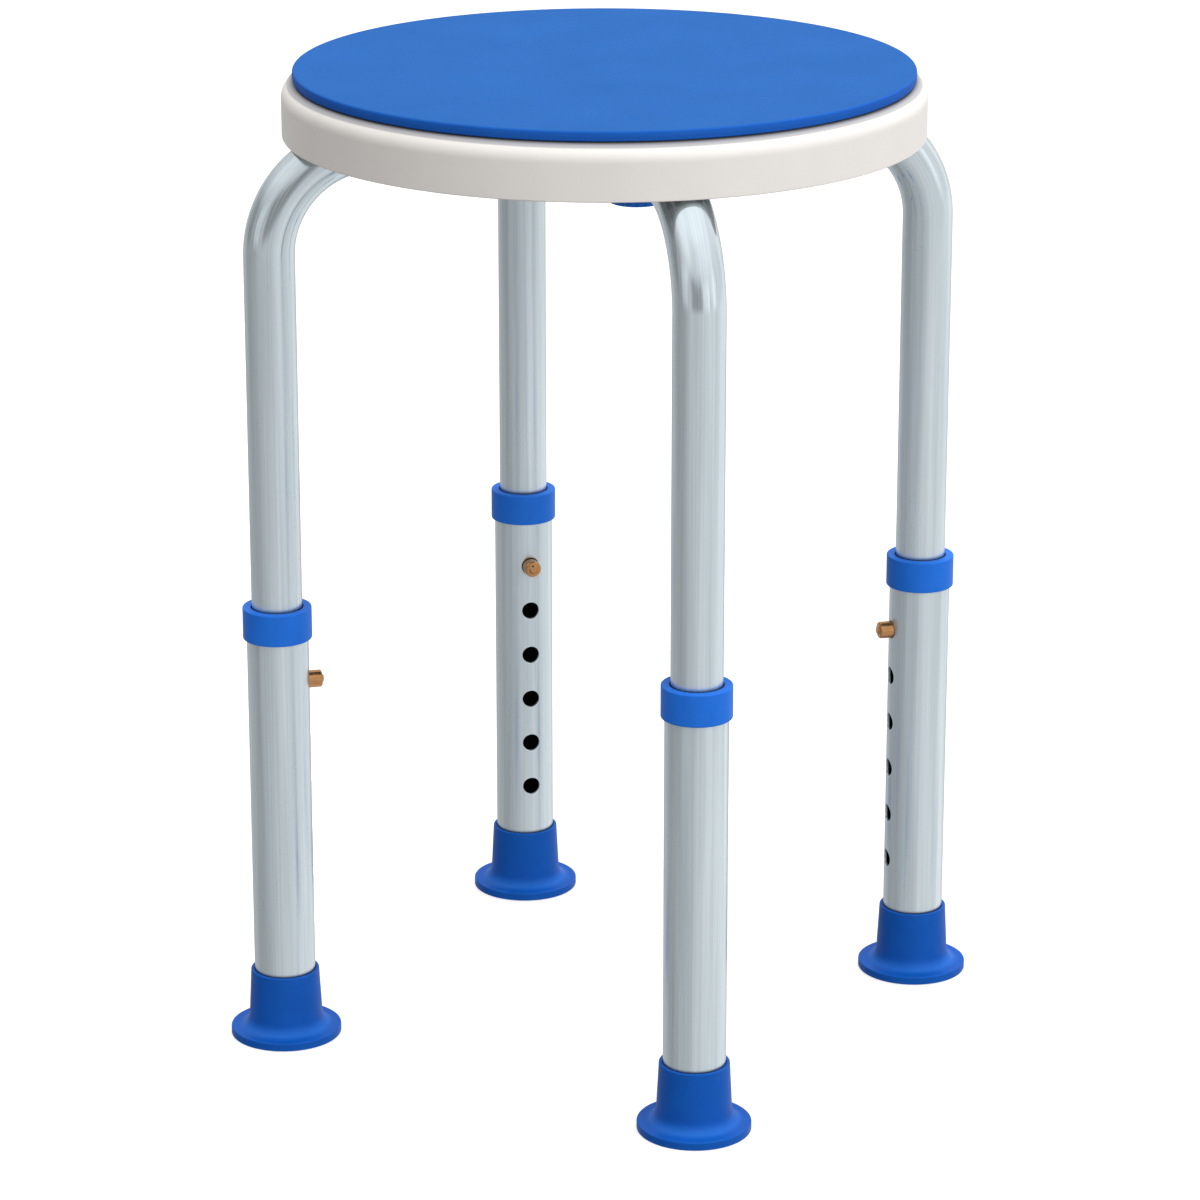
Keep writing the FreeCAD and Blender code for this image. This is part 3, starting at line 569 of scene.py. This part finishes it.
def zinc_steel():
    """Zinc-plated pressed steel: faint crystal patches and rolling lines."""
    made, tree, shader = blank("zinc_steel")
    place = linked(tree, "ShaderNodeTexCoord").outputs["Object"]
    patch = linked(tree, "ShaderNodeTexVoronoi", Vector=place, Scale=260.0).outputs[1]
    value = linked(tree, "ShaderNodeSeparateColor", Color=patch).outputs[0]
    roll = speckle(tree, place, (0.04, 1.0, 1.0), 900.0, 2.0)
    colour = blend(tree, value, (0.62, 0.63, 0.61, 1), (0.72, 0.72, 0.70, 1))
    rough = between(tree, value, 0.0, 1.0, 0.30, 0.42)
    set_up(tree, shader, colour, rough, raised(tree, roll, 0.08, 0.0001), Metallic=1.0)
    return made


def ball_steel():
    """Polished ball steel with a film of grease."""
    made, tree, shader = blank("ball_steel")
    place = linked(tree, "ShaderNodeTexCoord").outputs["Object"]
    film = speckle(tree, place, (1.0, 1.0, 1.0), 500.0, 3.0)
    colour = blend(tree, film, (0.62, 0.60, 0.54, 1), (0.80, 0.80, 0.79, 1))
    set_up(tree, shader, colour, between(tree, film, 0.3, 0.7, 0.08, 0.2), None, Metallic=1.0)
    return made


def black_plastic():
    """Black nylon of the saddles and bushes."""
    made, tree, shader = blank("black_plastic")
    place = linked(tree, "ShaderNodeTexCoord").outputs["Object"]
    fine = speckle(tree, place, (1.0, 1.0, 1.0), 1200.0, 3.0)
    scuff = speckle(tree, place, (1.0, 0.2, 1.0), 180.0, 4.0)
    colour = blend(tree, between(tree, scuff, 0.45, 0.75, 0.0, 1.0),
                   (0.014, 0.014, 0.015, 1), (0.035, 0.035, 0.037, 1))
    set_up(tree, shader, colour, between(tree, scuff, 0.3, 0.7, 0.42, 0.6),
           raised(tree, fine, 0.15, 0.0002))
    return made


def spring_steel():
    """Blued spring strip with faint lines along it."""
    made, tree, shader = blank("spring_steel")
    place = linked(tree, "ShaderNodeTexCoord").outputs["Object"]
    lines = speckle(tree, place, (1.0, 1.0, 0.03), 1600.0, 2.0)
    colour = blend(tree, lines, (0.30, 0.31, 0.34, 1), (0.52, 0.53, 0.55, 1))
    set_up(tree, shader, colour, between(tree, lines, 0.3, 0.7, 0.25, 0.4),
           raised(tree, lines, 0.08, 0.0001), Metallic=1.0)
    return made


def rivet_aluminium():
    """Plain aluminium rivet, with a little white bloom."""
    made, tree, shader = blank("rivet_aluminium")
    place = linked(tree, "ShaderNodeTexCoord").outputs["Object"]
    bloom = speckle(tree, place, (1.0, 1.0, 1.0), 420.0, 4.0)
    colour = blend(tree, bloom, (0.60, 0.61, 0.62, 1), (0.75, 0.76, 0.77, 1))
    set_up(tree, shader, colour, between(tree, bloom, 0.3, 0.7, 0.3, 0.5),
           raised(tree, bloom, 0.1, 0.0002), Metallic=1.0)
    return made


def floor_paint():
    """Plain pale studio floor."""
    made, tree, shader = blank("floor_paint")
    place = linked(tree, "ShaderNodeTexCoord").outputs["Object"]
    cloud = speckle(tree, place, (1.0, 1.0, 1.0), 2.0, 2.0)
    colour = blend(tree, cloud, (0.48, 0.48, 0.48, 1), (0.50, 0.50, 0.50, 1))
    set_up(tree, shader, colour, 0.9, None, Specular_IOR_Level=0.1,
           Emission_Color=(1.0, 1.0, 1.0, 1.0), Emission_Strength=0.62)
    return made


tube_finish = anodised_tube()
bore_finish = tube_bore()
foam_finish = pad_foam()
shell_finish = shell_plastic()
plastic_finish = blue_plastic()
rubber_finish = blue_rubber()
brass_finish = button_brass()


# ----------------------------------------------------------------- seat

def build_pad():
    """Foam disc: a turned outline whose side swells a little between its soft edges."""
    middle = (pad_low + pad_high) / 2
    outline = rounded(
        [
            (0, pad_low, 0),
            (pad_radius - 0.35, pad_low, 0.5),
            (pad_radius, middle, 6.0),
            (pad_radius - 0.2, pad_high, 1.1),
            (0, pad_high, 0),
        ],
        steps=8,
    )
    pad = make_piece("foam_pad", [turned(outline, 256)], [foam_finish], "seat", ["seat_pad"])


def rib_net(middle_angle, inner, outer, low, high):
    """Rib: a tongue-shaped section, 2 wide with rounded lower edges and a slight draft, carried along the
    radius from inner to outer. Its top follows the shell: height = the lesser of high and high less how
    far the place lies past outer less RIB_RUN_OUT."""
    section = rounded([(0.9, low, 0.5), (1.15, high, 0), (-1.15, high, 0), (-0.9, low, 0.5)], 4, 0.2)
    section = np.vstack([section, section[:1]])
    reach = np.array([inner, inner, outer - RIB_RUN_OUT, outer, outer])[:, None]
    shrink = np.array([0.0, 1.0, 1.0, 1.0, 0.0])[:, None]
    across = section[:, 0][None, :] * shrink
    top = high - np.clip(reach - outer + RIB_RUN_OUT, 0, None)
    up = np.where(shrink > 0, np.minimum(section[:, 1][None, :], top), top)
    c, s = math.cos(middle_angle), math.sin(middle_angle)
    points = np.stack([reach * c - across * s, reach * s + across * c, up + 0 * reach], axis=-1)
    return {"points": points}


def build_shell():
    """Moulded shell: a turned outline for the top and skirt, another for the swivel's platform and its
    ring wall, and RIB_COUNT ribs."""
    ceiling = shell_high - SHELL_TOP
    bore = shell_radius - SHELL_SKIRT
    body = rounded(
        [
            (0, ceiling, 0),
            (bore, ceiling, 6.5),
            (bore, shell_low + 1.5, 0),
            (bore + 1.0, shell_low, 0.2),
            (shell_radius, shell_low, 0.6),
            (shell_radius, shell_high, 9.0),
            (0, shell_high, 0),
        ],
        steps=12,
    )
    rib_low = arm_top + 2.5
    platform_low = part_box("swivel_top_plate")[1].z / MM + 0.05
    into_top = ceiling + 1.5
    platform = rounded(
        [
            (PLATFORM_BORE, platform_low, 0.4),
            (PLATFORM_RADIUS, platform_low, 0.5),
            (PLATFORM_RADIUS, rib_low, 0.5),
            (PLATFORM_RADIUS + RING_WALL, rib_low, 0.5),
            (PLATFORM_RADIUS + RING_WALL, into_top, 0),
            (PLATFORM_BORE, into_top, 0),
        ],
        steps=4,
    )
    nets = [turned(body, 256), turned(platform, 160)]
    nets += [rib_net(2 * math.pi * (n + 0.5) / RIB_COUNT, PLATFORM_RADIUS + RING_WALL / 2, bore + 1.0,
                     rib_low, into_top) for n in range(RIB_COUNT)]
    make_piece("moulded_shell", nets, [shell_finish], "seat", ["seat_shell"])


# ---------------------------------------------------------------- frame

def build_frame_tubes():
    """The two U-shaped tubes. Rows lie close together round the bends and at the crossing."""
    straight = arm_height - BEND_RADIUS - tube_end
    arc = BEND_RADIUS * math.pi / 2
    half_arm = leg_reach - BEND_RADIUS
    middle = straight + arc + half_arm
    half = np.concatenate(
        [
            [0.0, 0.4, 1.0],
            np.linspace(30.0, collar_high - tube_end - 0.5, 4),
            collar_high - tube_end + np.array([0.0, 0.3, 0.8, 1.3, 1.8, 2.6]),
            np.linspace(collar_high - tube_end + 20, straight, 9),
            straight + np.linspace(0, arc, 33)[1:],
            straight + arc + np.linspace(0, half_arm - 34, 10)[1:],
            middle - np.linspace(34, 0, 29)[1:],
        ]
    )
    rows = np.unique(np.round(np.concatenate([half, 2 * middle - half]), 4))
    end_to_button = button_height - tube_end
    holes = [end_to_button, 2 * middle - end_to_button]

    def bend(along):
        s = np.where(along > middle, 2 * middle - along, along)
        into = np.clip((s - straight + 1.0) / 3.0, 0, 1)
        out = np.clip((straight + arc + 1.0 - s) / 3.0, 0, 1)
        return into * out

    def shade(along):
        s = np.where(along > middle, 2 * middle - along, along)
        return np.clip(1 - (s + tube_end - collar_high) / SHADE_BAND, 0, 1) ** 1.5

    for name, over in (("over", True), ("under", False)):
        nets = drilled_tube(u_place(over, TUBE_RADIUS), rows, holes, TUBE_RADIUS,
                            TUBE_RADIUS - TUBE_WALL, bend, shade)
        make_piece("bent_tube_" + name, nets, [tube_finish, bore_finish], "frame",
                   ["frame_tube_" + name])


def build_nuts():
    """Round thumb nuts. Flutes limit the radius: the limit at an angle is the near crossing of that ray
    with the flute's circle."""
    reach = NUT_RADIUS + NUT_FLUTE_RADIUS - 0.6

    def squeeze(distance, angle):
        pitch = 2 * math.pi / NUT_FLUTES
        off = (angle + pitch / 2) % pitch - pitch / 2
        inside = NUT_FLUTE_RADIUS**2 - (reach * np.sin(off)) ** 2
        limit = reach * np.cos(off) - np.sqrt(np.clip(inside, 0, None))
        limit = np.where(inside > 0, limit, NUT_RADIUS + 1)
        fluted = np.minimum(distance, limit - (NUT_RADIUS - distance) * 0.6)
        return np.where(distance > NUT_RADIUS - 3.0, fluted, distance)

    outline = rounded(
        [
            (0, nut_low + 0.5, 0),
            (8.6, nut_low + 0.5, 0.4),
            (9.4, nut_low, 0.4),
            (NUT_RADIUS, nut_low, 1.6),
            (NUT_RADIUS, nut_high, 0.6),
            (NUT_BORE, nut_high, 0.2),
            (NUT_BORE, nut_high - NUT_BORE_DEPTH, 0),
            (0, nut_high - NUT_BORE_DEPTH, 0),
        ],
        steps=6,
    )
    nets = []
    for degrees in SIDES.values():
        turn = math.radians(degrees)
        centre = (NUT_REACH * math.cos(turn), NUT_REACH * math.sin(turn))
        nets.append(turned(outline, 320, centre, squeeze))
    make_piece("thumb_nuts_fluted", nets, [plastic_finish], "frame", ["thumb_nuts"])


# ----------------------------------------------------------------- legs

def build_leg(side):
    """One leg: drilled tube, snap button, and collar and foot turned about the leg's axis."""
    turn = math.radians(SIDES[side])
    centre = (leg_reach * math.cos(turn), leg_reach * math.sin(turn))
    holes = [button_height - HOLE_PITCH * n for n in range(HOLE_COUNT)][::-1]
    rows = np.concatenate([[leg_low, 20.0, foot_high - 0.5], [48.0, 49.0],
                           foot_high + np.array([0.0, 0.3, 0.8, 1.3, 1.8, 2.6]),
                           np.linspace(202.6, leg_high, 5)])

    def unbent(along):
        return 0.0 * along

    def shade(along):
        return np.clip(1 - (along - foot_high) / SHADE_BAND, 0, 1) ** 1.5

    nets = drilled_tube(leg_place(side), rows, holes, leg_radius, leg_bore, unbent, shade)
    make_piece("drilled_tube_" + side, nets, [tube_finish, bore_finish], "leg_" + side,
               ["leg_tube_" + side])

    cap = leg_radius + 0.05
    guide = TUBE_RADIUS + 0.4
    sleeve = leg_bore - 0.05
    roof = leg_high + 0.05
    collar = rounded(
        [
            (guide, leg_high - COLLAR_SLEEVE, 0),
            (sleeve, leg_high - COLLAR_SLEEVE, 0),
            (sleeve, roof, 0),
            (cap, roof, 0),
            (cap, collar_high - COLLAR_BAND, 0.2),
            (cap + COLLAR_WALL, collar_high - COLLAR_BAND, 0.5),
            (cap + COLLAR_WALL, collar_high, 0.7),
            (guide, collar_high, 0.4),
        ],
        steps=5,
    )
    make_piece("collar_" + side, [turned(collar, 128, centre)], [plastic_finish], "leg_" + side,
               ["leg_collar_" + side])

    bore = leg_radius + 0.1
    rim = bore + FOOT_WALL
    cone = rim + FOOT_TAPER
    tread = foot_radius - 0.5 - 4.4
    foot = rounded(
        [
            (0, FOOT_HOLLOW, 0),
            (tread / 2, FOOT_HOLLOW, 60.0),
            (tread, 0, 0),
            (foot_radius, 0, 0.5),
            (foot_radius, FOOT_FLANGE, 0.6),
            (cone, FOOT_FLANGE, 6.5),
            (rim, foot_high, 0.6),
            (bore, foot_high, 0.5),
            (bore, FOOT_FLOOR, 0),
            (0, FOOT_FLOOR, 0),
        ],
        steps=10,
    )
    make_piece("foot_" + side, [turned(foot, 144, centre)], [rubber_finish], "leg_" + side,
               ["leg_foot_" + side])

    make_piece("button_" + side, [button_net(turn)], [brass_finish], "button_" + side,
               ["snap_button_" + side])


def button_net(turn):
    """Snap button: a wide base, a plain shank, a rounded shoulder, a sunk ring and a low nub. The outline
    is turned, then laid so that its axis runs from the leg's axis to the stool's: place = the leg's axis,
    less the turned height outward, plus the turned x sideways, plus the turned y upward."""
    outline = rounded(
        [
            (0, button_base, 0),
            (5.2, button_base, 0.2),
            (5.2, button_base + 1.0, 0.2),
            (4.4, button_base + 1.0, 0),
            (4.4, button_tip - 0.9, 1.0),
            (2.5, button_tip - 0.9, 0.3),
            (1.7, button_tip, 0.2),
            (0, button_tip, 0),
        ],
        steps=8,
    )
    net = turned(outline, 64)
    across, up, along = np.moveaxis(net["grain"], -1, 0)
    outward = np.array([math.cos(turn), math.sin(turn), 0.0])
    sideways = np.array([-math.sin(turn), math.cos(turn), 0.0])
    net["points"] = (
        (leg_reach - along)[..., None] * outward
        + across[..., None] * sideways
        + (button_height + up)[..., None] * np.array([0.0, 0.0, 1.0])
    )
    return net


def finish_packed_parts():
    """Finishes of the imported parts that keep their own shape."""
    zinc, balls, black = zinc_steel(), ball_steel(), black_plastic()
    strip, rivet = spring_steel(), rivet_aluminium()
    kept = {
        "swivel_top_plate": zinc, "swivel_bottom_plate": zinc, "swivel_eyelet": zinc,
        "seat_screws": zinc, "frame_bolts": zinc, "swivel_balls": balls,
        "upper_saddles": black, "lower_saddles": black, "centre_rivet": rivet,
    }
    for side in SIDES:
        kept["foot_washer_" + side] = zinc
        kept["tube_end_bush_" + side] = black
        kept["button_spring_" + side] = strip
    for node, finish in kept.items():
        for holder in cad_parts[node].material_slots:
            holder.material = finish


# ---------------------------------------------------------------- stage

def softbox(name, place, size, power):
    """A square soft light at a place, turned towards the stool's middle and left out of reflections."""
    light = bpy.data.lights.new(name, "AREA")
    light.shape = "SQUARE"
    light.size = size
    light.energy = power
    holder = bpy.data.objects.new(name, light)
    holder.location = place
    holder.rotation_euler = (Vector(place) - Vector((0, 0, 0.3))).to_track_quat("Z", "Y").to_euler()
    holder.visible_camera = False
    holder.visible_glossy = False
    bpy.context.scene.collection.objects.link(holder)


def level_ramp(tree, share, stops):
    """Grey level by bearing, from (degrees, level) stops, smoothly joined."""
    ramp = linked(tree, "ShaderNodeValToRGB", Fac=share)
    ramp.color_ramp.interpolation = "B_SPLINE"
    set_stops(ramp, [((degrees + 180) / 360, (level, level, level, 1)) for degrees, level in stops])
    return ramp.outputs[0]


def build_surroundings():
    """Light from all round. Shiny surfaces see soft streaks near eye height; matt ones see a plain room
    that is brighter on one side and overhead."""
    world = bpy.data.worlds.new("studio")
    bpy.context.scene.world = world
    world.use_nodes = True
    tree = world.node_tree
    tree.nodes.clear()
    way = linked(tree, "ShaderNodeTexCoord").outputs["Generated"]
    parts = linked(tree, "ShaderNodeSeparateXYZ", Vector=way)
    rise = parts.outputs[2]
    bearing = linked(tree, "ShaderNodeMath", {"operation": "ARCTAN2"}, _0=parts.outputs[1],
                     _1=parts.outputs[0])
    share = between(tree, bearing.outputs[0], -math.pi, math.pi, 0.0, 1.0)
    low = level_ramp(tree, share, [
        (-180, 0.36), (-165, 0.42), (-140, 0.58), (-105, 0.70), (-75, 0.77), (-62, 0.86), (-38, 0.76),
        (-15, 0.88), (25, 1.08), (60, 0.95), (75, 0.5), (90, 0.85), (120, 0.55), (165, 0.34), (180, 0.36)])
    level = level_ramp(tree, share, [
        (-180, 0.45), (-162, 0.95), (-148, 0.70), (-136, 0.28), (-115, 0.30), (-98, 0.26), (-88, 0.45),
        (-81, 2.4), (-73, 2.3), (-65, 0.5), (-50, 0.8), (-30, 1.3), (-8, 0.5), (25, 1.2), (62, 0.8),
        (75, 0.3), (90, 0.8), (120, 0.5), (150, 0.25), (180, 0.45)])
    streak = speckle(tree, way, (1.0, 1.0, 0.12), 7.0, 3.0)
    patchy = blend(tree, between(tree, streak, 0.35, 0.65, 0.0, 1.0),
                   (0.6, 0.6, 0.6, 1), (1.3, 1.3, 1.3, 1))
    eye = tinted(tree, 1.0, level, patchy)
    ragged = linked(tree, "ShaderNodeMath", {"operation": "MULTIPLY_ADD"}, _0=streak, _1=0.5, _2=rise)
    begin = between(tree, rise, -0.14, -0.04, 0.0, 1.0)
    finish = between(tree, ragged.outputs[0], 0.5, 0.72, 1.0, 0.0)
    walls = blend(tree, product(tree, begin, finish), low, eye)
    high = level_ramp(tree, share, [
        (-180, 1.15), (-150, 1.0), (-120, 0.80), (-105, 0.85), (-70, 1.05), (-40, 1.0), (-15, 0.95),
        (75, 1.0), (130, 0.7), (165, 1.1), (180, 1.15)])
    sides = blend(tree, between(tree, rise, 0.25, 0.6, 0.0, 1.0), walls, high)
    shiny = blend(tree, between(tree, rise, 0.7, 0.85, 0.0, 1.0), sides, (1.12, 1.13, 1.14, 1))
    room = level_ramp(tree, share, [
        (-180, 0.36), (-150, 0.50), (-120, 1.08), (-90, 1.32), (-60, 1.30), (-15, 1.20), (30, 1.0), (75, 0.9),
        (130, 0.5), (165, 0.33), (180, 0.36)])
    lift = between(tree, rise, -0.35, 0.15, 0.0, 1.0)
    dim = blend(tree, lift, (0.32, 0.32, 0.32, 1), (1.0, 1.0, 1.0, 1))
    lower = tinted(tree, 1.0, room, dim)
    matt = blend(tree, between(tree, rise, 0.55, 0.85, 0.0, 1.0), lower, (1.22, 1.22, 1.22, 1))
    kind = linked(tree, "ShaderNodeLightPath").outputs["Is Diffuse Ray"]
    colour = blend(tree, kind, shiny, matt)
    background = linked(tree, "ShaderNodeBackground", Color=colour, Strength=1.0)
    output = tree.nodes.new("ShaderNodeOutputWorld")
    tree.links.new(background.outputs[0], output.inputs[0])


def build_stage():
    """Pale floor that curves up into a wall all round, soft studio light and the camera. Along the curve,
    radius = 6 + 2.5 sin(a) and height = 2.5 - 2.5 cos(a), in metres."""
    curve = np.linspace(0, math.pi / 2, 13)
    radius = np.concatenate([[0.0, 1.0, 3.0], 6.0 + 2.5 * np.sin(curve), [8.5]])[:, None]
    height = np.concatenate([[0.0, 0.0, 0.0], 2.5 - 2.5 * np.cos(curve), [7.0]])[:, None] - 2e-4
    angle = np.linspace(0, 2 * math.pi, 65)[None, :]
    points = np.stack([radius * np.cos(angle), radius * np.sin(angle), height + 0 * angle], -1)
    mesh = bpy.data.meshes.new("studio_floor")
    mesh.from_pydata(points.reshape(-1, 3).tolist(), [], quads(17, 65, 0)[:, ::-1].tolist())
    mesh.polygons.foreach_set("use_smooth", np.ones(len(mesh.polygons), bool))
    mesh.materials.append(floor_paint())
    floor = bpy.data.objects.new("studio_floor", mesh)
    bpy.context.scene.collection.objects.link(floor)
    floor.visible_glossy = False
    floor.visible_diffuse = False
    floor.visible_shadow = False
    build_surroundings()
    softbox("back_softbox", (0.7, 1.0, 2.5), 0.8, 22.0)
    softbox("overhead_softbox", (-0.1, -0.2, 2.5), 1.0, 13.0)
    softbox("front_softbox", (1.1, -1.8, 1.9), 1.8, 22.0)

    azimuth, elevation = math.radians(CAMERA_BEARING), math.radians(CAMERA_RISE)
    right = Vector((math.cos(azimuth), math.sin(azimuth), 0.0))
    back = Vector((math.sin(azimuth) * math.cos(elevation), -math.cos(azimuth) * math.cos(elevation),
                   math.sin(elevation)))
    lens = bpy.data.cameras.new("camera")
    lens.lens = CAMERA_LENS
    lens.sensor_width = 36.0
    lens.clip_end = 200.0
    camera = bpy.data.objects.new("camera", lens)
    bpy.context.scene.collection.objects.link(camera)
    aim = right * CAMERA_AIM_SIDEWAYS + Vector((0, 0, CAMERA_AIM_HEIGHT))
    camera.location = aim + back * CAMERA_DISTANCE
    camera.rotation_euler = back.to_track_quat("Z", "Y").to_euler()
    bpy.context.scene.camera = camera
    bpy.context.scene.view_settings.view_transform = "Standard"


build_pad()
build_shell()
build_frame_tubes()
build_nuts()
for side in SIDES:
    build_leg(side)
finish_packed_parts()
build_stage()

bpy.context.view_layer.update()
